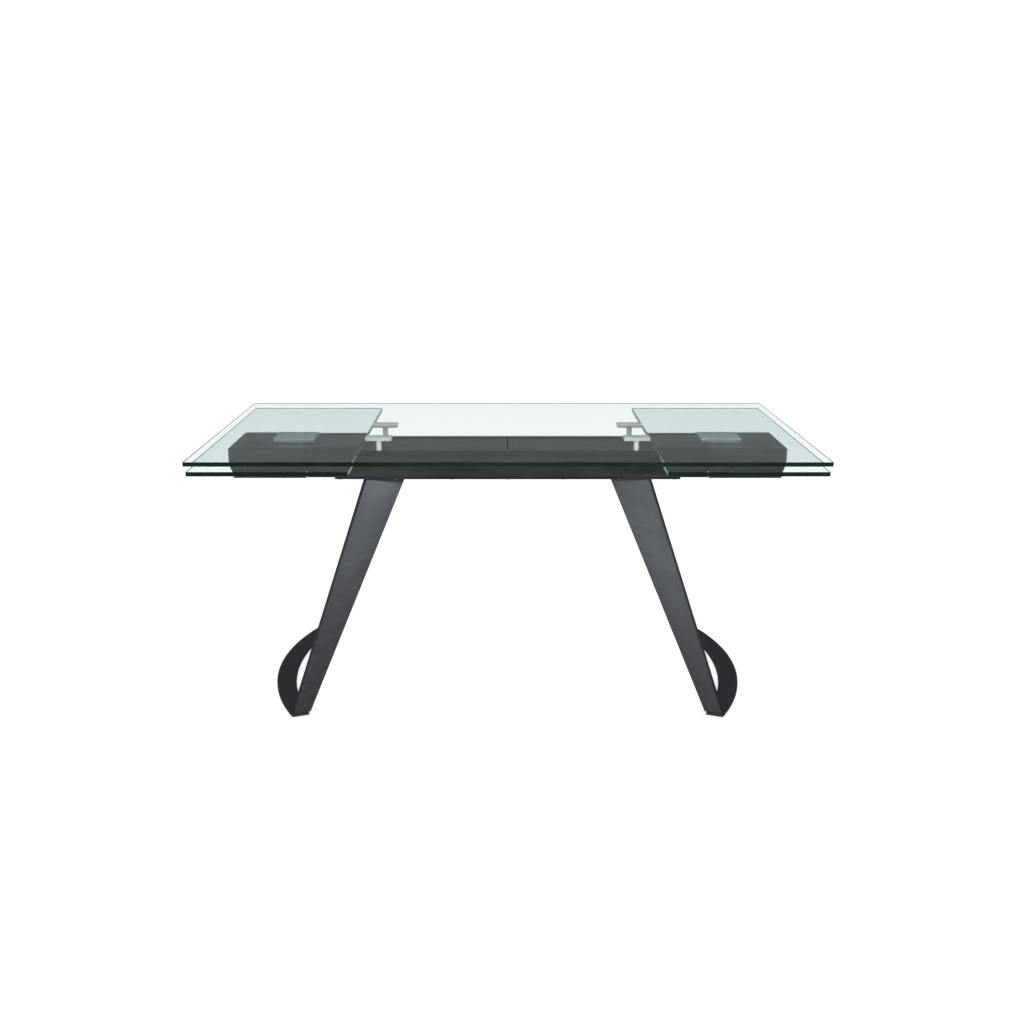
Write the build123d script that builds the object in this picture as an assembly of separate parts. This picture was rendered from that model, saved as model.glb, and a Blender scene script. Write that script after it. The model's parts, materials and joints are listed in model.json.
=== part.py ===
from build123d import *
import math
import os

# Extendable glass dining table. Millimetres, +X along the table, +Y to its rear, +Z up.
# The origin is on the floor under the middle of the table. Closed, with both leaves stowed.

# ---- driving dimensions ----
TABLE_HEIGHT = 760.0
TOP_LENGTH = 1700.0
TOP_WIDTH = 900.0
GLASS = 12.0                    # thickness of every glass plate
GLASS_CORNER = 4.0              # plan radius of the glass corners
GLASS_ARRIS = 1.0               # ground arris along the glass edges

LEAF_DROP = 26.5                # stowed leaf's face below the table's face
LEAF_LENGTH = 425.0
LEAF_WIDTH = 898.0
LEAF_INSET = 6.0                # stowed leaf's end in from the top's end
LEAF_TRAVEL = 432.0             # outward slide that clears the top

HOUSING_HALF = 584.6            # half length of the fixed rails
HOUSING_TOP = 707.0
HOUSING_BASE = 637.5
HOUSING_SIDE = 110.0            # half width over the rails
SHEET = 2.5                     # folded sheet of rails and beams
LIP_TOP_EDGE = 88.0             # free edge of each upper lip
LIP_LOW_EDGE = 90.0             # free edge of each lower lip

BELLY_HALF = 505.0
BELLY_BASE = 632.0
SCREW_PITCH = 163.0
SCREW_COUNT = 7
SCREW_Y = 99.0

POST_X = 374.0
POST_Y = 99.0
POST_R = 8.0
PAD_SIZE = (76.0, 40.0, 10.0)
STUD_R = 4.0
FIT = 0.02                      # radial allowance of threads and press fits

BEAM_HALF = 86.0                # half width of a carriage beam
BEAM_TOP = 705.0
BEAM_BASE = 655.0
BEAM_START = 2.0                # the two beams leave a 4 mm seam at the middle
BEAM_END = 800.0
LUG = (10.0, 6.0)               # stop lug below a beam flange: length, depth

COVER_START = 585.0
COVER_END = 809.0
COVER_RAKE = 12.5               # the end wall leans in by this much at its foot
COVER_KNEE = 668.0              # height below which the end wall leans in
COVER_SIDE = 118.0
COVER_BASE = 638.0
COVER_SHEET = 2.0

BLOCK_SIZE = (120.0, 100.0)
BLOCK_X = 630.0
BLOCK_BASE = 707.5
PIN_R = 5.0
PIN_DX = 30.0
PIN_DY = 35.0
PIN_CLEARANCE = 0.05
FULL_LIFT = 26.5
GUIDE_HEIGHT = 30.0

SLIDE_START = 60.0
SLIDE_LENGTH = 500.0
SLIDE_MID_Z = 675.0
SLIDE_SHEET = 1.8

LEG_HEAD = (413.5, 104.5)       # outer front corner of the leg under the housing
LEG_FOOT = (611.0, 377.0)       # the same corner carried down to the floor
LEG_HEAD_WIDTH = 121.0
LEG_FOOT_WIDTH = 48.0
LEG_DEPTH = 25.0                # level depth of the leg
LEG_WALL = 3.0
LEG_TURN = 20.7                 # plan turn of the leg's broad face

ARC_BASE = 2.0
ARC_THICK = 8.0
ARC_OUTER = (-47.0, 759.0)      # centre on X and radius of the arc's outer edge
ARC_INNER = (-140.0, 792.4)     # centre on X and radius of the arc's inner edge

SIDES = {"left": -1, "right": 1}
ROWS = {"front": -1, "rear": 1}
GLASS_TOP_BASE = TABLE_HEIGHT - GLASS
LEAF_TOP = TABLE_HEIGHT - LEAF_DROP
LEAF_BASE = LEAF_TOP - GLASS
ARC_TOP = ARC_BASE + ARC_THICK


# ---- helpers ----
def span(xs, ys, zs):
    """Box between two values on each axis, given in any order."""
    spans = [sorted(pair) for pair in (xs, ys, zs)]
    size = [high - low for low, high in spans]
    middle = [(high + low) / 2 for low, high in spans]
    return Pos(*middle) * Box(*size)


def rod(x, y, radius, z_low, z_high):
    """Upright cylinder between two heights."""
    return Pos(x, y, (z_low + z_high) / 2) * Cylinder(radius, z_high - z_low)


def hexagon(x, y, radius, z_low, z_high):
    """Upright hexagonal bar, its radius measured to the corners."""
    return Pos(x, y, z_low) * extrude(RegularPolygon(radius, 6), z_high - z_low)


def group(solids):
    """Separate solids kept together in one node."""
    return Compound(children=list(solids))


def to_side(shape, sign):
    """A shape built on the right, mirrored to the left for sign -1."""
    return shape if sign > 0 else mirror(shape, about=Plane.YZ)


def to_row(shape, sign):
    """A shape built at the rear, mirrored to the front for sign -1."""
    return shape if sign > 0 else mirror(shape, about=Plane.XZ)


def write(name, shape):
    export_step(shape, f"parts/{name}.step")


def four_corners(shape):
    """The rear right shape and its three mirror images."""
    return [to_side(to_row(shape, row), side) for side in (-1, 1) for row in (-1, 1)]


# ---- glass ----
def glass_plate(xs, ys, z_low):
    """Plate with rounded corners and a ground arris on both faces."""
    plate = span(xs, ys, (z_low, z_low + GLASS))
    plate = fillet(plate.edges().filter_by(Axis.Z), GLASS_CORNER)
    levels = plate.edges().group_by(Axis.Z)
    return chamfer(levels[0] + levels[-1], GLASS_ARRIS)


def make_glass():
    half = TOP_LENGTH / 2
    write("top_glass", glass_plate((-half, half), (-TOP_WIDTH / 2, TOP_WIDTH / 2), GLASS_TOP_BASE))
    outer = half - LEAF_INSET
    leaf = glass_plate((outer - LEAF_LENGTH, outer), (-LEAF_WIDTH / 2, LEAF_WIDTH / 2), LEAF_BASE)
    for name, side in SIDES.items():
        write(f"leaf_glass_{name}", to_side(leaf, side))


# ---- supports of the fixed top ----
POST_STUD_END = 699.0
POST_NUT = (7.5, 4.0)           # corner radius and height
POST_SPIGOT = (5.0, 7.0)        # radius and height of the spigot in the pad


def make_top_supports():
    pad_low = GLASS_TOP_BASE - PAD_SIZE[2]
    spigot_r, spigot_h = POST_SPIGOT
    pad = Pos(POST_X, POST_Y, pad_low + PAD_SIZE[2] / 2) * Box(*PAD_SIZE)
    pad = chamfer(pad.edges(), 0.8)
    pad -= rod(POST_X, POST_Y, spigot_r + FIT, pad_low, pad_low + spigot_h)
    post = rod(POST_X, POST_Y, POST_R, HOUSING_TOP, pad_low)
    post = chamfer(post.edges().filter_by(GeomType.CIRCLE), 0.8)
    post += rod(POST_X, POST_Y, spigot_r, pad_low - 1, pad_low + spigot_h)
    post += rod(POST_X, POST_Y, STUD_R, POST_STUD_END, HOUSING_TOP + 1)
    for side_name, side in SIDES.items():
        for row_name, row in ROWS.items():
            write(f"top_pad_{row_name}_{side_name}", to_side(to_row(pad, row), side))
            write(f"top_post_{row_name}_{side_name}", to_side(to_row(post, row), side))
    nut_r, nut_h = POST_NUT
    nut_top = HOUSING_TOP - SHEET
    nut = hexagon(POST_X, POST_Y, nut_r, nut_top - nut_h, nut_top)
    nut -= rod(POST_X, POST_Y, STUD_R + FIT, nut_top - nut_h, nut_top)
    write("post_nuts", group(four_corners(nut)))


# ---- fixed housing ----
SCREW_R = 2.5
SCREW_HEAD = (5.0, 2.6)         # radius and height
SCREW_TIP = 646.0


def screw_places():
    """Screw centres along the belly plate's rear edge."""
    first = -SCREW_PITCH * (SCREW_COUNT - 1) / 2
    return [first + SCREW_PITCH * i for i in range(SCREW_COUNT)]


def make_housing():
    xs = (-HOUSING_HALF, HOUSING_HALF)
    rail = span(xs, (HOUSING_SIDE - SHEET, HOUSING_SIDE), (HOUSING_BASE, HOUSING_TOP))
    rail += span(xs, (LIP_TOP_EDGE, HOUSING_SIDE), (HOUSING_TOP - SHEET, HOUSING_TOP))
    rail += span(xs, (LIP_LOW_EDGE, HOUSING_SIDE), (HOUSING_BASE, HOUSING_BASE + SHEET))
    bends = [e for e in rail.edges().filter_by(Axis.X) if e.center().Y > HOUSING_SIDE - 0.1]
    rail = fillet(bends, 1.5)
    for x in (-POST_X, POST_X):
        rail -= rod(x, POST_Y, STUD_R + 0.3, HOUSING_TOP - 2 * SHEET, HOUSING_TOP + 1)
    for x in screw_places():
        rail -= rod(x, SCREW_Y, SCREW_R + FIT, HOUSING_BASE - 1, HOUSING_BASE + 2 * SHEET)
    for name, row in ROWS.items():
        write(f"housing_rail_{name}", to_row(rail, row))

    belly = span((-BELLY_HALF, BELLY_HALF), (-HOUSING_SIDE, HOUSING_SIDE), (BELLY_BASE, HOUSING_BASE))
    belly = fillet(belly.edges().filter_by(Axis.Z), 3.0)
    belly = chamfer(belly.edges().group_by(Axis.Z)[0], 0.8)
    screws = []
    head_r, head_h = SCREW_HEAD
    for x in screw_places():
        for row in ROWS.values():
            y = row * SCREW_Y
            belly -= rod(x, y, SCREW_R + 0.2, BELLY_BASE - 1, HOUSING_BASE + 1)
            head = rod(x, y, head_r, BELLY_BASE - head_h, BELLY_BASE)
            head = fillet(head.edges().group_by(Axis.Z)[0], 1.6)
            head -= hexagon(x, y, 1.7, BELLY_BASE - head_h - 1, BELLY_BASE - 1)
            screws.append(head + rod(x, y, SCREW_R, BELLY_BASE - 0.5, SCREW_TIP))
    for leg_x, leg_y in leg_bolt_places():
        belly -= rod(leg_x, leg_y, LEG_BOLT_R + 0.4, BELLY_BASE - 1, HOUSING_BASE + 1)
    write("belly_plate", belly)
    write("belly_screws", group(screws))


STOP_GAP = 1.0
BRACE_WIDTH = 30.0
STOP_BRACE_TOP = 653.0
CENTRE_BRACE_TOP = 643.5


def brace(x_low, z_top):
    """Channel laid across the belly plate, its open side down."""
    body = span((x_low, x_low + BRACE_WIDTH), (-LIP_LOW_EDGE + 2, LIP_LOW_EDGE - 2), (HOUSING_BASE, z_top))
    hollow = (x_low + SHEET, x_low + BRACE_WIDTH - SHEET)
    return body - span(hollow, (-LIP_LOW_EDGE, LIP_LOW_EDGE), (HOUSING_BASE - 1, z_top - SHEET))


def make_braces():
    write("centre_brace", brace(-BRACE_WIDTH / 2, CENTRE_BRACE_TOP))
    stop = brace(BEAM_START + LUG[0] + LEAF_TRAVEL + STOP_GAP, STOP_BRACE_TOP)
    for name, side in SIDES.items():
        write(f"stop_brace_{name}", to_side(stop, side))


# ---- sliding carriages ----
def pin_places():
    return [(BLOCK_X + i * PIN_DX, j * PIN_DY) for i in (-1, 1) for j in (-1, 1)]


def make_beams():
    inner = BEAM_HALF - SHEET
    beam = span((BEAM_START, BEAM_END), (-BEAM_HALF, BEAM_HALF), (BEAM_BASE, BEAM_TOP))
    beam -= span((BEAM_START - 1, BEAM_END + 1), (-inner, inner), (BEAM_BASE - 1, BEAM_TOP - SHEET))
    bends = [e for e in beam.edges().filter_by(Axis.X) if e.center().Z > BEAM_TOP - 0.1]
    beam = fillet(bends, 1.5)
    for row in ROWS.values():
        beam += span((BEAM_START, BEAM_START + LUG[0]), (row * inner, row * BEAM_HALF),
                     (BEAM_BASE - LUG[1], BEAM_BASE + 1))
    for x, y in pin_places():
        beam -= rod(x, y, PIN_R + 1, BEAM_TOP - 2 * SHEET, BEAM_TOP + 1)
    for name, side in SIDES.items():
        write(f"carriage_beam_{name}", to_side(beam, side))


def cover_profile(inset, overshoot):
    """Side outline of the end cover: square at its inner end, raked below a knee at its outer end."""
    foot = COVER_END - COVER_RAKE - inset
    return Plane.XZ * Polygon(
        (COVER_START - overshoot, COVER_BASE - overshoot),
        (foot, COVER_BASE - overshoot),
        (COVER_END - inset, COVER_KNEE),
        (COVER_END - inset, HOUSING_TOP - inset),
        (COVER_START - overshoot, HOUSING_TOP - inset),
        align=None)


def make_end_covers():
    cover = extrude(cover_profile(0, 0), COVER_SIDE, both=True)
    upper = [e for e in cover.edges() if e.center().Z > HOUSING_TOP - 0.1 and e.center().X > COVER_START + 1]
    cover = fillet(upper, 2.5)
    cover -= extrude(cover_profile(COVER_SHEET, 1.0), COVER_SIDE - COVER_SHEET, both=True)
    for x, y in pin_places():
        cover -= rod(x, y, PIN_R + 2, BEAM_TOP - 1, HOUSING_TOP + 1)
    floor_end = COVER_END - COVER_RAKE - COVER_SHEET - 1
    floor_side = COVER_SIDE - COVER_SHEET - 1
    floor = span((COVER_START + 7, floor_end), (-floor_side, floor_side), (COVER_BASE, COVER_BASE + COVER_SHEET))
    for name, side in SIDES.items():
        write(f"end_cover_{name}", to_side(cover, side))
        write(f"end_floor_{name}", to_side(floor, side))


BRACKET_PLACES = (640.0, 740.0)
BRACKET_LENGTH = 25.0
BRACKET_SPAN = (660.0, 690.0)


def make_cover_brackets():
    """Z brackets that carry the end cover's sides from the beam's flanges."""
    wall = COVER_SIDE - COVER_SHEET
    brackets = []
    for x in BRACKET_PLACES:
        for row in ROWS.values():
            bracket = span((x, x + SHEET), (row * BEAM_HALF, row * wall), BRACKET_SPAN)
            bracket += span((x, x + BRACKET_LENGTH), (row * BEAM_HALF, row * (BEAM_HALF + SHEET)), BRACKET_SPAN)
            bracket += span((x, x + BRACKET_LENGTH), (row * (wall - SHEET), row * wall), BRACKET_SPAN)
            brackets.append(bracket)
    for name, side in SIDES.items():
        write(f"cover_brackets_{name}", to_side(group(brackets), side))


# ---- leaf lift ----
GUIDE_MARGIN = 12.0
COLLAR = (8.0, 3.0)             # radius and height
BLOCK_PRESS = 10.0              # depth of the pins in the leaf block


def make_leaf_lift():
    guide_top = BEAM_TOP - SHEET
    guide_base = guide_top - GUIDE_HEIGHT
    guide_x = PIN_DX + PIN_R + GUIDE_MARGIN
    guide_y = PIN_DY + PIN_R + GUIDE_MARGIN
    guide = span((BLOCK_X - guide_x, BLOCK_X + guide_x), (-guide_y, guide_y), (guide_base, guide_top))
    guide = chamfer(guide.edges().filter_by(Axis.Z), 3.0)
    block = Pos(BLOCK_X, 0, (BLOCK_BASE + LEAF_BASE) / 2) * Box(*BLOCK_SIZE, LEAF_BASE - BLOCK_BASE)
    block = chamfer(block.edges(), 0.8)
    collar_r, collar_h = COLLAR
    collar_top = guide_base - FULL_LIFT - 0.5
    pins, collars = [], []
    for x, y in pin_places():
        guide -= rod(x, y, PIN_R + PIN_CLEARANCE, guide_base - 1, guide_top + 1)
        block -= rod(x, y, PIN_R + FIT, BLOCK_BASE - 1, BLOCK_BASE + BLOCK_PRESS)
        pins.append(rod(x, y, PIN_R, collar_top - collar_h, BLOCK_BASE + BLOCK_PRESS))
        ring = rod(x, y, collar_r, collar_top - collar_h, collar_top)
        collars.append(ring - rod(x, y, PIN_R + FIT, collar_top - collar_h - 1, collar_top + 1))
    for name, side in SIDES.items():
        write(f"lift_guide_{name}", to_side(guide, side))
        write(f"leaf_block_{name}", to_side(block, side))
        write(f"lift_pins_{name}", to_side(group(pins), side))
        write(f"lift_collars_{name}", to_side(group(collars), side))


# ---- telescopic slides ----
# Each slide is three nested channels: back plane, free edge and half height of each.
SLIDE_OUTER = (HOUSING_SIDE - SHEET, 93.0, 23.0)
SLIDE_MIDDLE = (104.3, 92.0, 19.4)
SLIDE_INNER = (BEAM_HALF, 100.5, 15.8)
STRIP = 1.5                     # nylon strip between two channels


def channel(back, tip, half_height):
    """Channel along X whose web is at y = back and whose flanges reach to y = tip."""
    inward = math.copysign(SLIDE_SHEET, tip - back)
    xs = (SLIDE_START, SLIDE_START + SLIDE_LENGTH)
    body = span(xs, (back, tip), (SLIDE_MID_Z - half_height, SLIDE_MID_Z + half_height))
    room = half_height - SLIDE_SHEET
    return body - span((xs[0] - 1, xs[1] + 1), (back + inward, tip + inward),
                       (SLIDE_MID_Z - room, SLIDE_MID_Z + room))


def make_slides():
    members = {"outer": channel(*SLIDE_OUTER), "middle": channel(*SLIDE_MIDDLE), "inner": channel(*SLIDE_INNER)}
    for part, shape in members.items():
        for side_name, side in SIDES.items():
            for row_name, row in ROWS.items():
                write(f"slide_{part}_{row_name}_{side_name}", to_side(to_row(shape, row), side))
    half = SLIDE_MIDDLE[2]
    xs = (SLIDE_START, SLIDE_START + SLIDE_LENGTH)
    strips = []
    for row in ROWS.values():
        for up in (-1, 1):
            over = SLIDE_MID_Z + up * half
            under = SLIDE_MID_Z + up * (half - SLIDE_SHEET)
            strips.append(span(xs, (row * 94, row * 103), (over, over + up * STRIP)))
            strips.append(span(xs, (row * 93, row * 100), (under - up * STRIP, under)))
    for name, side in SIDES.items():
        write(f"glide_strips_{name}", to_side(group(strips), side))


# ---- legs and floor arcs ----
LEG_BOLT_R = 4.0
LEG_BOLT_REACH = 28.0           # bolts lie this far each side of the head's middle
LEG_BOLT_HEAD = (6.5, 8.0)
WASHER = (8.0, 1.6)
HEAD_PLATE = 16.0
FOOT_SOLID = 30.0               # height below which the leg is solid

TURN = math.radians(LEG_TURN)
ALONG = (-math.cos(TURN), -math.sin(TURN))   # rear right leg: outer corner to inner corner
BACK = (math.sin(TURN), -math.cos(TURN))     # rear right leg: broad face into the leg


def leg_corner(z):
    """Outer corner of the rear right leg's broad face, and the face's width, at height z."""
    k = z / BELLY_BASE
    x = LEG_FOOT[0] + (LEG_HEAD[0] - LEG_FOOT[0]) * k
    y = LEG_FOOT[1] + (LEG_HEAD[1] - LEG_FOOT[1]) * k
    return x, y, LEG_FOOT_WIDTH + (LEG_HEAD_WIDTH - LEG_FOOT_WIDTH) * k


def leg_point(z, along, back):
    """Plan position at height z, measured from the outer corner of the broad face."""
    x, y, _ = leg_corner(z)
    return x + ALONG[0] * along + BACK[0] * back, y + ALONG[1] * along + BACK[1] * back


def leg_section(z, inset):
    """Level section of the leg, drawn in by the inset on all four sides."""
    width = leg_corner(z)[2]
    near, far = inset, width - inset
    front, rear = inset, LEG_DEPTH - inset
    corners = [leg_point(z, a, b) for a, b in ((near, front), (far, front), (far, rear), (near, rear))]
    return Pos(0, 0, z) * Polygon(*corners, align=None)


def leg_loft(z_low, z_high, inset):
    return loft([leg_section(z_low, inset), leg_section(z_high, inset)], ruled=True)


def head_places():
    """Bolt centres in the head of the rear right leg."""
    middle = LEG_HEAD_WIDTH / 2
    return [leg_point(BELLY_BASE, middle + d, LEG_DEPTH / 2) for d in (-LEG_BOLT_REACH, LEG_BOLT_REACH)]


def leg_bolt_places():
    return [(i * x, j * y) for x, y in head_places() for i in (-1, 1) for j in (-1, 1)]


def foot_places():
    """Screw centres in the foot of the rear right leg."""
    middle = leg_corner(ARC_TOP)[2] / 2
    return [leg_point(ARC_TOP, middle + d, LEG_DEPTH / 2) for d in (-11.0, 11.0)]


FOOT_SCREW_R = 3.0
FOOT_SCREW_HEAD = (5.5, 3.3)
FOOT_SCREW_TOP = 24.0


def make_legs():
    leg = leg_loft(ARC_TOP, BELLY_BASE, 0.0)
    leg = chamfer(leg.edges().sort_by(SortBy.LENGTH)[-4:], 1.2)
    leg -= leg_loft(FOOT_SOLID, BELLY_BASE, LEG_WALL)
    for x, y in foot_places():
        leg -= rod(x, y, FOOT_SCREW_R + FIT, ARC_TOP - 1, FOOT_SCREW_TOP + 1)
    head = leg_loft(BELLY_BASE - HEAD_PLATE, BELLY_BASE, LEG_WALL + 0.1)
    bolts, washers = [], []
    washer_r, washer_h = WASHER
    head_r, head_h = LEG_BOLT_HEAD
    washer_top = HOUSING_BASE + washer_h
    for x, y in head_places():
        head -= rod(x, y, LEG_BOLT_R + FIT, BELLY_BASE - HEAD_PLATE - 1, BELLY_BASE + 1)
        washer = rod(x, y, washer_r, HOUSING_BASE, washer_top)
        washers.append(washer - rod(x, y, LEG_BOLT_R + 0.3, HOUSING_BASE - 1, washer_top + 1))
        bolt = rod(x, y, head_r, washer_top, washer_top + head_h)
        bolt -= hexagon(x, y, 3.4, washer_top + head_h / 2, washer_top + head_h + 1)
        bolts.append(bolt + rod(x, y, LEG_BOLT_R, BELLY_BASE - HEAD_PLATE + 1, washer_top + 0.5))
    for side_name, side in SIDES.items():
        for row_name, row in ROWS.items():
            write(f"leg_{row_name}_{side_name}", to_side(to_row(leg, row), side))
    write("leg_head_plates", group(four_corners(head)))
    write("leg_bolts", group([c for b in bolts for c in four_corners(b)]))
    write("leg_washers", group([c for w in washers for c in four_corners(w)]))


GLIDE = (10.0, 27.3)            # radius, and angle round the arc of the outer two glides


def make_floor_arcs():
    outer_x, outer_r = ARC_OUTER
    inner_x, inner_r = ARC_INNER
    crescent = Pos(outer_x, 0) * Circle(outer_r) - Pos(inner_x, 0) * Circle(inner_r)
    # The ends are cut along the broad faces of the legs, which meet on the table's long axis.
    apex = LEG_FOOT[0] + ALONG[0] * LEG_FOOT[1] / -ALONG[1]
    reach = 2 * TOP_WIDTH
    ray = (apex - ALONG[0] * reach, -ALONG[1] * reach)
    wedge = Polygon((apex, 0), (ray[0], -ray[1]), ray, align=None)
    arc = Pos(0, 0, ARC_BASE) * extrude(crescent & wedge, ARC_THICK)
    arc = chamfer(arc.edges().group_by(Axis.Z)[-1], 0.8)
    head_r, head_h = FOOT_SCREW_HEAD
    screws = []
    for x, y in foot_places():
        screw = rod(x, y, FOOT_SCREW_R, ARC_BASE + 1, FOOT_SCREW_TOP)
        screw += rod(x, y, head_r, ARC_BASE + 0.3, ARC_BASE + 0.3 + head_h)
        screws += four_corners(screw - hexagon(x, y, 2.2, ARC_BASE - 1, ARC_BASE + 2))
        for row in ROWS.values():
            arc -= rod(x, row * y, FOOT_SCREW_R + 0.3, ARC_BASE - 1, ARC_TOP + 1)
            arc -= rod(x, row * y, head_r + 0.3, ARC_BASE - 1, ARC_BASE + 0.3 + head_h)
    for name, side in SIDES.items():
        write(f"floor_arc_{name}", to_side(arc, side))
    write("foot_screws", group(screws))

    glide_r, glide_turn = GLIDE
    middle_r = (outer_r + inner_r + inner_x - outer_x) / 2
    glides = []
    for turn in (-glide_turn, 0.0, glide_turn):
        x = outer_x + middle_r * math.cos(math.radians(turn))
        y = middle_r * math.sin(math.radians(turn))
        glide = rod(x, y, glide_r, 0, ARC_BASE)
        glides += [glide, mirror(glide, about=Plane.YZ)]
    write("floor_glides", group(glides))


os.makedirs("parts", exist_ok=True)
make_glass()
make_top_supports()
make_housing()
make_braces()
make_beams()
make_end_covers()
make_cover_brackets()
make_leaf_lift()
make_slides()
make_legs()
make_floor_arcs()
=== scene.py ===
"""Extendable glass dining table, closed, with its finishes and a plain studio.

Metres, +X along the table, +Y to its rear, +Z up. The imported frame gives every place.
"""
import json
import math

import bpy
import numpy as np
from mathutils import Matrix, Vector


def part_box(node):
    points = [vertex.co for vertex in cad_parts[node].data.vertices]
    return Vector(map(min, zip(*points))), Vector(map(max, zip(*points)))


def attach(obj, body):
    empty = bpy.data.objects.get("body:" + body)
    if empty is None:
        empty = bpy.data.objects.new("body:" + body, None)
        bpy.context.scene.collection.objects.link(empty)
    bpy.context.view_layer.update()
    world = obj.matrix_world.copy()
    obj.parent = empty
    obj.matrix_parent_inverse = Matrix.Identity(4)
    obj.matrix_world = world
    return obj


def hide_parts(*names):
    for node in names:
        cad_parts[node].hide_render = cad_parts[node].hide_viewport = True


bl_info = {
    "name": "Extendable Glass Table",
    "version": (1, 0, 0),
    "blender": (4, 5, 0),
    "location": "View3D > Sidebar > Glass Table",
    "description": "Glass, steel and studio of a dining table with two sliding leaves",
    "category": "Add Mesh",
}

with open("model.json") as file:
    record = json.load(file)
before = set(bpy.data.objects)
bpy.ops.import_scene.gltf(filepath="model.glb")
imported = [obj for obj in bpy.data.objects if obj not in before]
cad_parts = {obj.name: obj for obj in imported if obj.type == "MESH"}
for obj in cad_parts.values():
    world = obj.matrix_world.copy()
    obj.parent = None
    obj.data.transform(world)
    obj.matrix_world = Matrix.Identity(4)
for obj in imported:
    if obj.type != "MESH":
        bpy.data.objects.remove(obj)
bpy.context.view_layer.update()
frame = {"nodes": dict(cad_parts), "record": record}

SIDES = {"left": -1, "right": 1}
ROWS = {"front": -1, "rear": 1}


# ---- driving dimensions that the frame's boxes don't give ----
LEG_TURN = math.radians(20.7)                       # plan turn of the broad faces
ALONG = np.array([-math.cos(LEG_TURN), -math.sin(LEG_TURN)])   # rear right leg: outer to inner corner
BACK = np.array([math.sin(LEG_TURN), -math.cos(LEG_TURN)])     # rear right leg: broad face into the leg
LEG_HEAD = np.array([0.4135, 0.1045])               # outer corner of the broad face at the housing
LEG_FOOT = np.array([0.611, 0.377])                 # the same corner carried down to the floor
LEG_HEAD_WIDTH = 0.121
LEG_FOOT_WIDTH = 0.048
LEG_DEPTH = 0.025
LEG_WALL = 0.003
FOOT_SOLID = 0.030                                  # the leg is solid below this height

ARC_OUTER = (-0.047, 0.759)                         # centre on X and radius of the outer edge
ARC_INNER = (-0.140, 0.7924)                        # centre on X and radius of the inner edge

RAIL_SHEET = 0.0025
RAIL_LIPS = (0.088, 0.090)                          # free edges of the upper and lower lip
POST_STUD = 0.004                                   # radius of the stud under a post
TINY = 0.00005                                      # least corner radius of an outline

# ---- fixed values of the looks ----
GLASS_IOR = 1.52
CALM_SHARE = 0.74                                   # share of the glass that has no mirror
STRAIGHT = (0.93, 0.96, 0.955, 1.0)                 # what lamps and scattered light keep through a face
PAINTED_END_GLEAM = (0.86, 0.92, 0.91)                      # painted reflection of a polished end face met at a glancing angle
DUST = (0.55, 0.54, 0.52)
WHITE = (1.0, 1.0, 1.0, 1.0)
FLOOR_GLOW = 0.66
FLOOR_DIM = (0.45, 0.45, 0.45, 1.0)                 # the floor as polished metal mirrors it
SKY_HEIGHTS = (0.50, 0.95)                          # upward part of a ray's way, lower and upper end
SKY_MIRRORED = (0.32, 0.75)                         # sky for mirrored rays at those heights
SKY_MATT = 1.0
SKY_SEEN = 1.05
LAMPS = {                                           # place, aim, width and height, radiance
    "key": ((-2.0, -3.9, 1.9), (0.1, -0.2, 0.4), (2.4, 1.5), 1.1),
    "fill": ((2.5, -3.6, 2.7), (-0.1, -0.2, 0.5), (2.6, 1.3), 1.75),
}


# ---- settings ----
def size_setting(name, description, default):
    return bpy.props.FloatProperty(
        name=name, description=description, default=default, min=0.0,
        unit="LENGTH", subtype="DISTANCE", precision=5)


def colour_setting(name, description, default):
    return bpy.props.FloatVectorProperty(
        name=name, description=description, default=default, size=3, min=0.0, max=1.0, subtype="COLOR")


class GlassSettings(bpy.types.PropertyGroup):
    corner: size_setting("Corner radius", "Plan radius of a plate's corners", 0.004)
    arris: size_setting("Arris", "Width of the ground bevel along both rims of a plate", 0.0014)
    bond_line: size_setting("Bond line", "Clear adhesive under a plate", 0.00015)
    tint: colour_setting("Tint", "What a plate lets through", (0.85, 0.905, 0.91))
    edge_dark: colour_setting("Edge, dark", "Deepest green of the edge", (0.001, 0.007, 0.005))
    edge_light: colour_setting("Edge, light", "Lightest green of the edge", (0.003, 0.018, 0.0135))
    edge_through: colour_setting("Edge, through", "What an edge met from inside lets out", (0.11, 0.15, 0.14))


class SteelSettings(bpy.types.PropertyGroup):
    bend: size_setting("Bend radius", "Outer radius of the folds in the housing rails", 0.0026)
    leg_edge: size_setting("Leg edge radius", "Rounding of a leg's long edges", 0.0024)
    arc_edge: size_setting("Arc edge radius", "Rounding of a floor arc's rims", 0.0014)
    block_edge: size_setting("Block edge radius", "Rounding of pads, posts and leaf blocks", 0.0011)
    housing: colour_setting("Housing", "Gunmetal of the housing", (0.074, 0.081, 0.089))
    legs: colour_setting("Legs", "Gunmetal of the legs and floor arcs", (0.156, 0.166, 0.182))
    bright: colour_setting("Bright steel", "Pads, posts and leaf blocks", (0.88, 0.89, 0.90))


class StudioSettings(bpy.types.PropertyGroup):
    lens: bpy.props.FloatProperty(
        name="Lens", description="Focal length of the camera", default=40.36, unit="CAMERA")
    camera_x: bpy.props.FloatProperty(
        name="Camera across", description="Camera's place along the table", default=-0.011,
        unit="LENGTH", subtype="DISTANCE")
    camera_distance: size_setting("Camera distance", "From the table's middle to the camera", 3.369)
    camera_height: size_setting("Camera height", "Camera above the floor", 1.423)
    camera_pitch: bpy.props.FloatProperty(
        name="Camera pitch", description="Downward tilt of the camera",
        default=math.radians(15.27), subtype="ANGLE", unit="ROTATION")
    camera_shift: bpy.props.FloatProperty(
        name="Frame shift", description="Sideways shift of the frame, in frame widths", default=0.008)
    floor_radius: size_setting("Floor radius", "Radius of the round studio floor", 90.0)
    floor: colour_setting("Floor", "Colour of the studio floor", (0.50, 0.50, 0.50))


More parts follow.
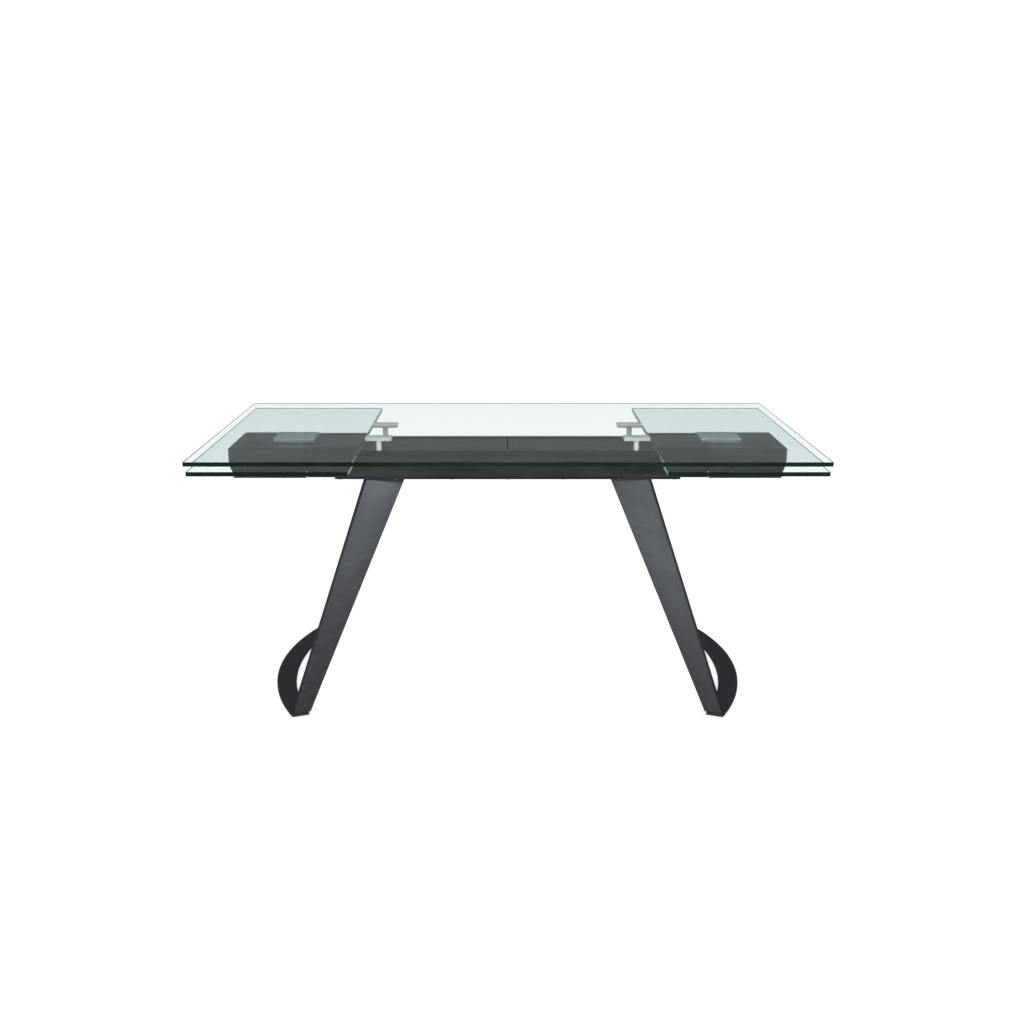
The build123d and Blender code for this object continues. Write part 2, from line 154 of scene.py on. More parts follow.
# ---- surfaces ----
class Shell:
    """A closed surface made of rings of points.

    Neighbouring rings are joined by quads and the first and last ring by a flat cap. A ring runs
    counterclockwise seen from the side that the rings advance to, which turns every face outward.
    """

    def __init__(self, rings, uv=None, wall_slot=0, cap_slot=0):
        self.rings = rings
        self.uv = rings[..., :2] if uv is None else uv
        self.wall_slot = wall_slot
        self.cap_slot = cap_slot

    def mirrored(self, side, row):
        """Mirror image across X for side -1 and across Y for row -1, its faces still outward."""
        rings, uv = self.rings * (side, row, 1), self.uv
        if side * row < 0:
            rings, uv = rings[:, ::-1], uv[:, ::-1]
        return Shell(rings, uv, self.wall_slot, self.cap_slot)

    def walls(self):
        """Corner numbers of the quads between ring i and ring i + 1, and point j and j + 1."""
        count, around = self.rings.shape[:2]
        i, j = np.meshgrid(np.arange(count - 1), np.arange(around), indexing="ij")
        k = (j + 1) % around
        corners = [i * around + j, i * around + k, (i + 1) * around + k, (i + 1) * around + j]
        return np.stack(corners, -1).reshape(-1, 4)

    def caps(self):
        count, around = self.rings.shape[:2]
        ring = np.arange(around)
        return [ring[::-1], (count - 1) * around + ring]


def make_piece(name, shells, finishes, body, replaces=(), sharp=32.0):
    """One mesh object from its shells, riding on its body and standing for its CAD nodes."""
    faces, corners, slots, first = [], [], [], 0
    for shell in shells:
        walls, caps = shell.walls(), shell.caps()
        faces += (walls + first).tolist() + [(cap + first).tolist() for cap in caps]
        flat = shell.uv.reshape(-1, 2)
        corners += [flat[walls.ravel()]] + [flat[cap] for cap in caps]
        slots += [shell.wall_slot] * len(walls) + [shell.cap_slot] * len(caps)
        first += shell.rings.shape[0] * shell.rings.shape[1]
    points = np.concatenate([shell.rings.reshape(-1, 3) for shell in shells])
    mesh = bpy.data.meshes.new(name)
    mesh.from_pydata(points.tolist(), [], faces)
    layer = mesh.uv_layers.new(name="surface")
    layer.data.foreach_set("uv", np.concatenate(corners).ravel())
    mesh.polygons.foreach_set("material_index", slots)
    for label in finishes:
        mesh.materials.append(finish(label))
    mesh.shade_smooth()
    mesh.set_sharp_from_angle(angle=math.radians(sharp))
    made = bpy.data.objects.new(name, mesh)
    bpy.context.scene.collection.objects.link(made)
    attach(made, body)
    if replaces:
        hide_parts(*replaces)
    return made


def rounded_rectangle(half_x, half_y, radius, steps=5):
    """Outline of a rectangle with quarter-circle corners, for one size or an array of sizes.

    Each corner's arc centre lies a radius inside both sides; a point is that centre plus the
    radius times the cosine and sine of its angle.
    """
    turn = np.linspace(0, math.pi / 2, steps + 1)
    angle = (np.arange(4)[:, None] * math.pi / 2 + turn).ravel()
    sign_x = np.repeat([1, -1, -1, 1], steps + 1)
    sign_y = np.repeat([1, 1, -1, -1], steps + 1)
    half_x, half_y, radius = (np.asarray(v, float)[..., None] for v in (half_x, half_y, radius))
    x = sign_x * (half_x - radius) + radius * np.cos(angle)
    y = sign_y * (half_y - radius) + radius * np.sin(angle)
    return np.stack(np.broadcast_arrays(x, y), -1)


def rim(low, high, radius, steps=4):
    """Inset and height up a wall whose two rims are quarter circles of the radius.

    The inset is the radius times one minus the sine of the turn, and the height leaves the rim by
    the radius times one minus the cosine.
    """
    turn = np.linspace(0, math.pi / 2, steps + 1)
    inset = radius * (1 - np.sin(turn))
    rise = radius * (1 - np.cos(turn))
    return np.concatenate([inset, inset[::-1]]), np.concatenate([low + rise, high - rise[::-1]])


def with_height(outlines, heights):
    """Level rings: each outline at its own height."""
    z = np.broadcast_to(np.asarray(heights)[:, None, None], outlines.shape[:2] + (1,))
    return np.concatenate([outlines, z], -1)


def slab(low, high, corner, edge, steps=4, **slots):
    """Plate between two corners: a rounded rectangle carried up a wall with rounded rims."""
    low, high = np.array(low), np.array(high)
    inset, heights = rim(low[2], high[2], edge, steps)
    half = (high - low) / 2
    outline = rounded_rectangle(half[0] - inset, half[1] - inset, np.maximum(corner - inset, TINY))
    return Shell(with_height(outline + (low + high)[:2] / 2, heights), **slots)


def turned(x, y, profile, around=40):
    """Solid of revolution about an upright axis: each profile point is a radius and a height."""
    radius, height = np.array(profile).T
    angle = np.arange(around) * 2 * math.pi / around
    circle = np.stack([np.cos(angle), np.sin(angle)], -1)
    return Shell(with_height(radius[:, None, None] * circle + (x, y), height))


def bent_path(points, radius, steps=5):
    """Points along a line through the given ones with an arc at each corner, and left normals.

    An arc starts the radius times the tangent of half the turn before its corner; a point on it
    is the arc's centre less the inward normal times the cosine, plus the heading times the sine.
    """
    points = np.array(points, float)
    heading = np.diff(points, axis=0)
    heading /= np.linalg.norm(heading, axis=1)[:, None]
    places, ways = [points[:1]], [heading[:1]]
    for corner, came, goes in zip(points[1:-1], heading[:-1], heading[1:]):
        bend = math.acos(np.clip(came @ goes, -1, 1))
        inward = np.sign(came[0] * goes[1] - came[1] * goes[0]) * np.array([-came[1], came[0]])
        start = corner - came * radius * math.tan(bend / 2)
        turn = np.linspace(0, bend, steps + 1)[:, None]
        places.append(start + inward * radius * (1 - np.cos(turn)) + came * radius * np.sin(turn))
        ways.append(came * np.cos(turn) + inward * np.sin(turn))
    places.append(points[-1:])
    ways.append(heading[-1:])
    ways = np.concatenate(ways)
    return np.concatenate(places), np.stack([-ways[:, 1], ways[:, 0]], -1)


def folded_sheet(path, sheet, bend, x_low, x_high):
    """Folded sheet metal along X: a bent path in the YZ plane, offset half a sheet to each side."""
    line, normal = bent_path(path, bend - sheet / 2)
    outline = np.concatenate([line - normal * sheet / 2, (line + normal * sheet / 2)[::-1]])
    rings = np.stack([np.insert(outline, 0, x, axis=1) for x in (x_low, x_high)])
    return Shell(rings, rings[..., :2] + rings[..., 2:] * (0, 1))


# ---- shader helpers ----
MIX_FACTOR, MIX_A, MIX_B, MIX_OUT = 0, 6, 7, 2      # colour sockets of a Mix node


def add(tree, kind, sockets=None, **settings):
    """New node with its settings, and each named input set to a value or linked to a socket."""
    made = tree.nodes.new(kind)
    for key, value in settings.items():
        setattr(made, key, value)
    for key, value in (sockets or {}).items():
        if isinstance(value, bpy.types.NodeSocket):
            tree.links.new(value, made.inputs[key])
        else:
            made.inputs[key].default_value = value
    return made


def mixed_colour(tree, factor, a, b):
    a, b = (value if isinstance(value, bpy.types.NodeSocket) else (*value, 1.0) for value in (a, b))
    made = add(tree, "ShaderNodeMix", {MIX_FACTOR: factor, MIX_A: a, MIX_B: b}, data_type="RGBA")
    return made.outputs[MIX_OUT]


def ranged(tree, value, low, high, to_low, to_high):
    """The value stretched from one range to another and held inside it."""
    limits = {1: low, 2: high, 3: to_low, 4: to_high}
    return add(tree, "ShaderNodeMapRange", {0: value, **limits}).outputs[0]


def maths(tree, operation, a, b):
    return add(tree, "ShaderNodeMath", {0: a, 1: b}, operation=operation).outputs[0]


def noise(tree, vector, scale, detail, roughness=0.5, distortion=0.0):
    sockets = {"Vector": vector, "Scale": scale, "Detail": detail, "Roughness": roughness,
               "Distortion": distortion}
    return add(tree, "ShaderNodeTexNoise", sockets).outputs[0]


def shader_group(name, inputs, outputs):
    """An empty node group with named sockets, and its own inputs and outputs."""
    tree = bpy.data.node_groups.new(name, "ShaderNodeTree")
    for label, kind, default in inputs:
        socket = tree.interface.new_socket(label, in_out="INPUT", socket_type=kind)
        if default is not None:
            socket.default_value = default
    for label in outputs:
        tree.interface.new_socket(label, in_out="OUTPUT", socket_type="NodeSocketFloat")
    return tree, tree.nodes.new("NodeGroupInput").outputs, tree.nodes.new("NodeGroupOutput").inputs


def brushed_grain_group():
    """Lines of a brushing belt: noise squeezed across the grain, a fine and a broad layer."""
    tree, given, result = shader_group(
        "Brushed Grain",
        [("Vector", "NodeSocketVector", None), ("Stretch", "NodeSocketVector", (4.0, 900.0, 900.0))],
        ["Streaks", "Height"])
    fine_place = add(tree, "ShaderNodeVectorMath", {0: given["Vector"], 1: given["Stretch"]},
                     operation="MULTIPLY").outputs[0]
    broad_place = add(tree, "ShaderNodeVectorMath", {0: fine_place, 1: (0.6, 0.09, 0.09)},
                      operation="MULTIPLY").outputs[0]
    fine = noise(tree, fine_place, 1.0, 3.0, 0.6)
    broad = noise(tree, broad_place, 1.0, 3.0, 0.6)
    blend = maths(tree, "ADD", maths(tree, "MULTIPLY", fine, 0.45), maths(tree, "MULTIPLY", broad, 0.55))
    tree.links.new(ranged(tree, blend, 0.36, 0.64, 0.0, 1.0), result["Streaks"])
    tree.links.new(fine, result["Height"])
    return tree


def handling_group():
    """Wiped smudges and small specks of dust, each as a mask."""
    tree, given, result = shader_group(
        "Handling Marks",
        [("Vector", "NodeSocketVector", None), ("Scale", "NodeSocketFloat", 9.0)],
        ["Smudge", "Specks"])
    cloud = noise(tree, given["Vector"], given["Scale"], 4.0, 0.55, 0.9)
    tree.links.new(ranged(tree, cloud, 0.46, 0.68, 0.0, 1.0), result["Smudge"])
    cells = add(tree, "ShaderNodeTexVoronoi", {"Vector": given["Vector"], "Scale": 160.0}).outputs[0]
    tree.links.new(ranged(tree, cells, 0.05, 0.11, 1.0, 0.0), result["Specks"])
    return tree


def edge_wear_and_shade_group():
    """Mask of convex and folded edges, for rubbed edges and for painted edge shade: how far the rounded-over
    normal leaves the true one.
    """
    tree, given, result = shader_group(
        "Edge Wear",
        [("Vector", "NodeSocketVector", None), ("Radius", "NodeSocketFloat", 0.0015),
         ("Amount", "NodeSocketFloat", 1.0)],
        ["Wear"])
    rounded = add(tree, "ShaderNodeBevel", {"Radius": given["Radius"]}, samples=4).outputs[0]
    true = tree.nodes.new("ShaderNodeNewGeometry").outputs["Normal"]
    match = add(tree, "ShaderNodeVectorMath", {0: rounded, 1: true}, operation="DOT_PRODUCT")
    edge = ranged(tree, match.outputs["Value"], 0.995, 0.86, 0.0, 1.0)
    patches = ranged(tree, noise(tree, given["Vector"], 38.0, 3.0), 0.35, 0.65, 0.25, 1.0)
    edge_mark = maths(tree, "MULTIPLY", edge, patches)
    tree.links.new(maths(tree, "MULTIPLY", edge_mark, given["Amount"]), result["Wear"])
    return tree


GROUPS = {
    "Brushed Grain": brushed_grain_group,
    "Handling Marks": handling_group,
    "Edge Wear": edge_wear_and_shade_group,
}


def use_group(tree, name, sockets):
    """A node that holds the named group, which is made the first time it is asked for."""
    held = bpy.data.node_groups.get(name) or GROUPS[name]()
    made = tree.nodes.new("ShaderNodeGroup")
    made.node_tree = held
    for key, value in sockets.items():
        if isinstance(value, bpy.types.NodeSocket):
            tree.links.new(value, made.inputs[key])
        else:
            made.inputs[key].default_value = value
    return made.outputs


def new_finish(slot):
    """Empty material, with its node tree and output."""
    made = bpy.data.materials.new(f"{slot} finish")
    made.use_nodes = True
    made.node_tree.nodes.clear()
    return made, made.node_tree, made.node_tree.nodes.new("ShaderNodeOutputMaterial")


def place(tree, on_surface):
    """Texture coordinates: the piece's own UV map, or the object's."""
    if on_surface:
        return add(tree, "ShaderNodeUVMap", uv_map="surface").outputs[0]
    return tree.nodes.new("ShaderNodeTexCoord").outputs["Object"]


def scaled(colour, factor):
    return tuple(min(1.0, c * factor) for c in colour)


# ---- finishes ----
def metal(name, colour, contrast, roughness, stretch, *, on_surface=False, turn=0.0, metallic=1.0,
          edge_tint=1.0, bump=0.00002, edge_amount=0.35, edge_shade=2.2, edge_width=0.0014, painted_foot_shade=1.0):
    """Brushed metal: streaks vary its colour, gloss and height, edges are rubbed lighter, or given painted
    shade when their factor is below one, hands smear it.

    A finish with a foot shade is darkened towards the floor by painted shade, as far as the shade says.
    """
    made, tree, output = new_finish(name)
    spot = place(tree, on_surface)
    if turn:
        spot = add(tree, "ShaderNodeMapping", {"Vector": spot, "Rotation": (0.0, 0.0, turn)}).outputs[0]
    solid_spot = place(tree, False)
    grain = use_group(tree, "Brushed Grain", {"Vector": spot, "Stretch": stretch})
    marks = use_group(tree, "Handling Marks", {"Vector": solid_spot, "Scale": 7.0})
    edge_mark = use_group(tree, "Edge Wear", {"Vector": solid_spot, "Radius": edge_width, "Amount": edge_amount})
    base = mixed_colour(tree, grain["Streaks"], scaled(colour, 1 - contrast), scaled(colour, 1 + contrast))
    # Edge colour: lighter edges are rubbed steel, darker ones are painted shade.
    base = mixed_colour(tree, edge_mark["Wear"], base, scaled(colour, edge_shade))
    # Painted shade: the colour darkens towards the floor.
    if painted_foot_shade < 1.0:
        height = add(tree, "ShaderNodeSeparateXYZ", {0: solid_spot}).outputs[2]
        shade = ranged(tree, height, 0.0, 0.42, painted_foot_shade, 1.0)
        base = add(tree, "ShaderNodeVectorMath", {0: base, "Scale": shade}, operation="SCALE").outputs[0]
    gloss = ranged(tree, grain["Streaks"], 0.0, 1.0, roughness * 0.82, roughness * 1.18)
    gloss = maths(tree, "ADD", gloss, maths(tree, "MULTIPLY", marks["Smudge"], 0.07))
    relief = add(tree, "ShaderNodeBump", {"Strength": 0.6, "Distance": bump, "Height": grain["Height"]})
    shader = add(tree, "ShaderNodeBsdfPrincipled", {
        "Base Color": base, "Metallic": metallic, "Roughness": gloss,
        "Specular Tint": (edge_tint, edge_tint, edge_tint, 1.0), "Normal": relief.outputs[0]})
    tree.links.new(shader.outputs[0], output.inputs[0])
    return made


def dark_brushed_steel():
    steel = bpy.context.scene.table_steel
    return metal("dark_brushed_steel", steel.housing, 0.42, 0.34, (7.0, 60.0, 200.0))


def dark_leg_steel():
    steel = bpy.context.scene.table_steel
    # Painted shade: the edges darkened to a quarter of the colour, and the colour darkened towards the floor.
    return metal("dark_leg_steel", steel.legs, 0.12, 0.36, (80.0, 240.0, 1.0), on_surface=True,
                 edge_tint=0.4, bump=0.000004, edge_amount=1.0, edge_shade=0.25, edge_width=0.0035, painted_foot_shade=0.62)


def painted_shade_arc_steel():
    steel = bpy.context.scene.table_steel
    # Painted shade: the legs' own gunmetal darkened to 0.72 for the floor arcs.
    return metal("painted_shade_arc_steel", scaled(steel.legs, 0.72), 0.07, 0.38, (70.0, 240.0, 1.0), on_surface=True,
                 edge_tint=0.3, bump=0.000004, edge_amount=0.2)


def brushed_bright_steel():
    steel = bpy.context.scene.table_steel
    return metal("brushed_bright_steel", steel.bright, 0.14, 0.20, (14.0, 90.0, 160.0),
                 metallic=0.48, edge_amount=0.1)


def post_steel():
    steel = bpy.context.scene.table_steel
    return metal("post_steel", scaled(steel.bright, 1.08), 0.06, 0.16, (300.0, 300.0, 14.0),
                 metallic=0.25, edge_amount=0.1)


def leaf_block_steel():
    steel = bpy.context.scene.table_steel
    return metal("leaf_block_steel", scaled(steel.bright, 0.96), 0.20, 0.24, (9.0, 90.0, 20.0),
                 turn=math.radians(-52), metallic=0.8, edge_amount=0.1)


def zinc_steel():
    return metal("zinc_steel", (0.50, 0.51, 0.52), 0.16, 0.34, (160.0, 160.0, 160.0), edge_amount=0.2)


def cast_aluminium():
    return metal("cast_aluminium", (0.56, 0.57, 0.58), 0.10, 0.42, (260.0, 30.0, 260.0), edge_amount=0.3)


def coated(name, dark, light, roughness, pebble, bump, specular=0.5):
    """Plastic, rubber or powder coat: a pebbled skin with soft colour drift and dust."""
    made, tree, output = new_finish(name)
    spot = place(tree, False)
    marks = use_group(tree, "Handling Marks", {"Vector": spot, "Scale": 14.0})
    drift = noise(tree, spot, 24.0, 4.0, 0.6)
    skin = noise(tree, spot, pebble, 2.0, 0.4)
    base = mixed_colour(tree, drift, dark, light)
    base = mixed_colour(tree, maths(tree, "MULTIPLY", marks["Specks"], 0.12), base, DUST)
    gloss = ranged(tree, drift, 0.3, 0.7, roughness * 0.88, min(1.0, roughness * 1.12))
    relief = add(tree, "ShaderNodeBump", {"Strength": 0.7, "Distance": bump, "Height": skin})
    shader = add(tree, "ShaderNodeBsdfPrincipled", {
        "Base Color": base, "Roughness": gloss, "Specular IOR Level": specular, "Normal": relief.outputs[0]})
    tree.links.new(shader.outputs[0], output.inputs[0])
    return made


def black_steel():
    return coated("black_steel", (0.012, 0.012, 0.013), (0.024, 0.024, 0.026), 0.52, 1400.0, 0.00006)


def nylon():
    return coated("nylon", (0.66, 0.64, 0.58), (0.76, 0.74, 0.69), 0.42, 900.0, 0.00002)


def rubber_pad():
    return coated("rubber_pad", (0.010, 0.010, 0.010), (0.022, 0.021, 0.020), 0.82, 1100.0, 0.00008, 0.3)


def clear_glass():
    """Polished float glass, its mirror weakened as by a polarising filter.

    The unpolarised glass is mixed with a clear bending surface, which tints a ray by the root of
    the glass's colour at each face, as the glass does. Lamps and scattered light pass straight on.
    """
    glass = bpy.context.scene.table_glass
    made, tree, output = new_finish("clear_glass")
    spot = place(tree, False)
    marks = use_group(tree, "Handling Marks", {"Vector": spot, "Scale": 3.0})
    cloud = noise(tree, spot, 2.2, 2.0)
    root = [math.sqrt(c) for c in glass.tint]
    base = mixed_colour(tree, cloud, scaled(glass.tint, 0.99), scaled(glass.tint, 1.01))
    bent_colour = mixed_colour(tree, cloud, scaled(root, 0.995), scaled(root, 1.005))
    gloss = maths(tree, "MULTIPLY", marks["Smudge"], 0.003)
    mirror = add(tree, "ShaderNodeBsdfPrincipled", {
        "Base Color": base, "Roughness": gloss, "IOR": GLASS_IOR, "Transmission Weight": 1.0})
    bent = add(tree, "ShaderNodeBsdfRefraction", {"Color": bent_colour, "Roughness": 0.0, "IOR": GLASS_IOR})
    clear = add(tree, "ShaderNodeMixShader", {0: CALM_SHARE, 1: mirror.outputs[0], 2: bent.outputs[0]})
    straight = add(tree, "ShaderNodeBsdfTransparent", {"Color": STRAIGHT})
    ray = tree.nodes.new("ShaderNodeLightPath").outputs
    lamps = add(tree, "ShaderNodeMixShader", {
        0: ray["Is Shadow Ray"], 1: clear.outputs[0], 2: straight.outputs[0]})
    scattered = add(tree, "ShaderNodeMixShader", {
        0: ray["Is Diffuse Ray"], 1: lamps.outputs[0], 2: straight.outputs[0]})
    tree.links.new(scattered.outputs[0], output.inputs[0])
    return made


def glass_edge():
    """The polished edge, dark green because light goes so deep along the plate.

    An end face met at a glancing angle has a painted reflection, pale near the plate's corners. Met from
    inside, the edge lets a little light out.
    """
    glass = bpy.context.scene.table_glass
    made, tree, output = new_finish("glass_edge")
    spot = place(tree, False)
    bands = noise(tree, spot, 5.5, 4.0, 0.6)
    marks = use_group(tree, "Handling Marks", {"Vector": spot, "Scale": 20.0})
    base = mixed_colour(tree, ranged(tree, bands, 0.38, 0.62, 0.0, 1.0), glass.edge_dark, glass.edge_light)
    gloss = ranged(tree, marks["Smudge"], 0.0, 1.0, 0.05, 0.13)
    glancing = add(tree, "ShaderNodeLayerWeight", {"Blend": 0.5}).outputs["Facing"]
    across = add(tree, "ShaderNodeSeparateXYZ", {0: spot}).outputs[1]
    near_corner = ranged(tree, maths(tree, "ABSOLUTE", across, 0.0), 0.25, 0.40, 0.18, 1.0)
    geometry = tree.nodes.new("ShaderNodeNewGeometry").outputs
    facing_end = add(tree, "ShaderNodeSeparateXYZ", {0: geometry["Normal"]}).outputs[0]
    end_face = ranged(tree, maths(tree, "ABSOLUTE", facing_end, 0.0), 0.9, 0.99, 0.0, 0.8)
    painted_gleam = maths(tree, "MULTIPLY", ranged(tree, glancing, 0.72, 0.86, 0.0, 1.0), near_corner)
    painted_gleam = maths(tree, "MULTIPLY", painted_gleam, end_face)
    # Painted reflection: pale colour on end faces met at a glancing angle.
    base = mixed_colour(tree, painted_gleam, base, PAINTED_END_GLEAM)
    outside = add(tree, "ShaderNodeBsdfPrincipled", {
        "Base Color": base, "Roughness": gloss, "IOR": GLASS_IOR, "Specular IOR Level": 0.22})
    through = add(tree, "ShaderNodeBsdfRefraction", {
        "Color": (*glass.edge_through, 1.0), "Roughness": 0.0, "IOR": GLASS_IOR})
    shader = add(tree, "ShaderNodeMixShader", {
        0: geometry["Backfacing"], 1: outside.outputs[0], 2: through.outputs[0]})
    tree.links.new(shader.outputs[0], output.inputs[0])
    return made


FINISHES = {made.__name__: made for made in (
    clear_glass, glass_edge, dark_brushed_steel, dark_leg_steel, painted_shade_arc_steel, brushed_bright_steel,
    post_steel, leaf_block_steel, zinc_steel, cast_aluminium, black_steel, nylon, rubber_pad)}


def finish(slot):
    """The material of a slot, made the first time it is asked for; the frame's own ones stay unused."""
    return bpy.data.materials.get(f"{slot} finish") or FINISHES[slot]()


# ---- pieces ----
def plate(node, body):
    """A glass plate: rounded corners, a flat polished edge and a narrow bevel along both rims."""
    glass = bpy.context.scene.table_glass
    low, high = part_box(node)
    low.z += glass.bond_line
    shell = slab(low, high, glass.corner, glass.arris, steps=2, wall_slot=1, cap_slot=0)
    make_piece(f"{node}_plate", [shell], ["clear_glass", "glass_edge"], body, [node],
               sharp=20)


class TABLE_OT_glass(bpy.types.Operator):
    """Glass top and the two leaves"""
    bl_idname = "glass_table.glass"
    bl_label = "Glass plates"

    def execute(self, context):
        plate("top_glass", "frame")
        for side in SIDES:
            plate(f"leaf_glass_{side}", f"leaf_{side}")
        return {"FINISHED"}


def leg_shell(edge):
    """The rear right leg: a straight tapered tube with rounded long edges.

    The level section is a rounded rectangle. Its outer corner moves evenly from the foot's place
    to the head's and its width grows evenly from the foot's width to the head's. The inner wall is
    the same section drawn in by the sheet's thickness.
    """
    low, high = (corner.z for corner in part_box("leg_rear_right"))

    def level_rings(heights, inset, radius):
        share = heights / high
        corner = LEG_FOOT + share[:, None] * (LEG_HEAD - LEG_FOOT)
        width = LEG_FOOT_WIDTH + share * (LEG_HEAD_WIDTH - LEG_FOOT_WIDTH)
        local = rounded_rectangle(width / 2 - inset, LEG_DEPTH / 2 - inset, radius)
        middle = corner + ALONG * width[:, None] / 2 + BACK * LEG_DEPTH / 2
        plan = middle[:, None] + local[..., :1] * ALONG + local[..., 1:] * BACK
        run = math.dist((*LEG_HEAD, high), (*LEG_FOOT, 0))
        across = local.sum(-1)
        uv = np.stack([np.broadcast_to(share[:, None] * run, across.shape), across], -1)
        return with_height(plan, heights), uv

    outer, outer_uv = level_rings(np.linspace(low, high, 40), 0.0, edge)
    inner, inner_uv = level_rings(np.linspace(high, FOOT_SOLID, 12), LEG_WALL, edge / 2)
    return Shell(np.concatenate([outer, inner]), np.concatenate([outer_uv, inner_uv]))


class TABLE_OT_legs(bpy.types.Operator):
    """Four splayed legs"""
    bl_idname = "glass_table.legs"
    bl_label = "Legs"

    def execute(self, context):
        leg = leg_shell(context.scene.table_steel.leg_edge)
        for side_name, side in SIDES.items():
            for row_name, row in ROWS.items():
                node = f"leg_{row_name}_{side_name}"
                make_piece(f"{node}_tube", [leg.mirrored(side, row)], ["dark_leg_steel"],
                           "frame", [node])
        return {"FINISHED"}


def arc_shell(edge):
    """The right floor arc: a flat crescent between two circles, swept by rays from one point.

    The rays start where the legs' broad faces would meet on the table's long axis. Along a ray,
    the distance to a circle is b + sqrt(b * b - c), where b is the offset to the circle's centre
    times the ray's cosine and c is that offset squared less the radius squared. Each section is a
    rounded rectangle between the two circles.
    """
    low, high = (corner.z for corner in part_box("floor_arc_right"))
    apex = LEG_FOOT[0] - LEG_FOOT[1] / math.tan(LEG_TURN)
    turn = np.linspace(-LEG_TURN, LEG_TURN, 121)

    def reach(circle):
        centre, radius = circle
        offset = centre - apex
        b = offset * np.cos(turn)
        return b + np.sqrt(b * b - offset * offset + radius * radius)

    far, near = reach(ARC_OUTER), reach(ARC_INNER)
    half = (far - near) / 2
    local = rounded_rectangle(half, np.full(half.shape, (high - low) / 2), edge)
    distance = (far + near)[:, None] / 2 - local[..., 0]
    x = apex + distance * np.cos(turn)[:, None]
    y = distance * np.sin(turn)[:, None]
    z = (low + high) / 2 - local[..., 1]
    along = np.broadcast_to(turn[:, None] * far.mean(), distance.shape)
    return Shell(np.stack([x, y, z], -1)[:, ::-1], np.stack([along, local.sum(-1)], -1)[:, ::-1])


class TABLE_OT_floor_arcs(bpy.types.Operator):
    """Curved bands on the floor"""
    bl_idname = "glass_table.floor_arcs"
    bl_label = "Floor arcs"

    def execute(self, context):
        arc = arc_shell(context.scene.table_steel.arc_edge)
        for name, side in SIDES.items():
            node = f"floor_arc_{name}"
            make_piece(f"{node}_band", [arc.mirrored(side, 1)], ["painted_shade_arc_steel"],
                       "frame", [node])
        return {"FINISHED"}


class TABLE_OT_rails(bpy.types.Operator):
    """Folded front and rear rails of the housing"""
    bl_idname = "glass_table.rails"
    bl_label = "Housing rails"

    def execute(self, context):
        low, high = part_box("housing_rail_rear")
        half = RAIL_SHEET / 2
        top, base, wall = high.z - half, low.z + half, high.y - half
        path = [(RAIL_LIPS[0], top), (wall, top), (wall, base), (RAIL_LIPS[1], base)]
        rail = folded_sheet(path, RAIL_SHEET, context.scene.table_steel.bend, low.x, high.x)
        for name, row in ROWS.items():
            node = f"housing_rail_{name}"
            make_piece(f"{node}_fold", [rail.mirrored(1, row)], ["dark_brushed_steel"],
                       "frame", [node])
        return {"FINISHED"}


def post_shell(node, edge):
    """A post with its stud: radius against height, turned about its own axis."""
    low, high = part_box(node)
    x, y = (low.x + high.x) / 2, (low.y + high.y) / 2
    radius = (high.x - low.x) / 2
    base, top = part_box("housing_rail_rear")[1].z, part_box(node.replace("post", "pad"))[0].z
    inset, heights = rim(base, top, edge)
    wall = [(radius - i, z) for i, z in zip(inset, heights)]
    return turned(x, y, [(POST_STUD, low.z), (POST_STUD, base), *wall])


class TABLE_OT_supports(bpy.types.Operator):
    """Pads and posts that carry the fixed top"""
    bl_idname = "glass_table.supports"
    bl_label = "Top supports"

    def execute(self, context):
        edge = context.scene.table_steel.block_edge
        for side in SIDES:
            for row in ROWS:
                node = f"top_pad_{row}_{side}"
                low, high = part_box(node)
                make_piece(f"{node}_plate", [slab(low, high, 0.0016, edge)], ["brushed_bright_steel"],
                           "frame", [node])
                node = f"top_post_{row}_{side}"
                make_piece(f"{node}_bar", [post_shell(node, edge)], ["post_steel"],
                           "frame", [node])
        return {"FINISHED"}


class TABLE_OT_leaf_blocks(bpy.types.Operator):
    """Bright blocks bonded under the leaves"""
    bl_idname = "glass_table.leaf_blocks"
    bl_label = "Leaf blocks"

    def execute(self, context):
        for side in SIDES:
            node = f"leaf_block_{side}"
            low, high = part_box(node)
            block = slab(low, high, 0.002, context.scene.table_steel.block_edge)
            make_piece(f"{node}_plate", [block], ["leaf_block_steel"],
                       f"leaf_{side}", [node])
        return {"FINISHED"}


class TABLE_OT_finishes(bpy.types.Operator):
    """Finish of every other sub-part, by its material slot"""
    bl_idname = "glass_table.finishes"
    bl_label = "Finishes"

    def execute(self, context):
        for part in frame["record"]["subparts"]:
            mesh = frame["nodes"][part["node"]].data
            mesh.materials.clear()
            mesh.materials.append(finish(part["material_slot"]))
        return {"FINISHED"}


# ---- studio ----
def floor_finish():
    """Pale matt floor that also glows a little, and that polished metal mirrors dimmer than it is."""
    studio = bpy.context.scene.table_studio
    made, tree, output = new_finish("studio_floor")
    spot = place(tree, False)
    cloud = noise(tree, spot, 0.8, 3.0)
    base = mixed_colour(tree, cloud, scaled(studio.floor, 0.99), scaled(studio.floor, 1.01))
    pale = add(tree, "ShaderNodeBsdfPrincipled", {
        "Base Color": base, "Roughness": 0.8, "Specular IOR Level": 0.1,
        "Emission Color": WHITE, "Emission Strength": FLOOR_GLOW})
    dim = add(tree, "ShaderNodeBsdfDiffuse", {"Color": FLOOR_DIM})
    ray = tree.nodes.new("ShaderNodeLightPath").outputs
    mirrored = maths(tree, "MINIMUM", ray["Glossy Depth"], 1.0)
    both = add(tree, "ShaderNodeMixShader", {0: mirrored, 1: pale.outputs[0], 2: dim.outputs[0]})
    tree.links.new(both.outputs[0], output.inputs[0])
    made.cycles.emission_sampling = "NONE"
    return made


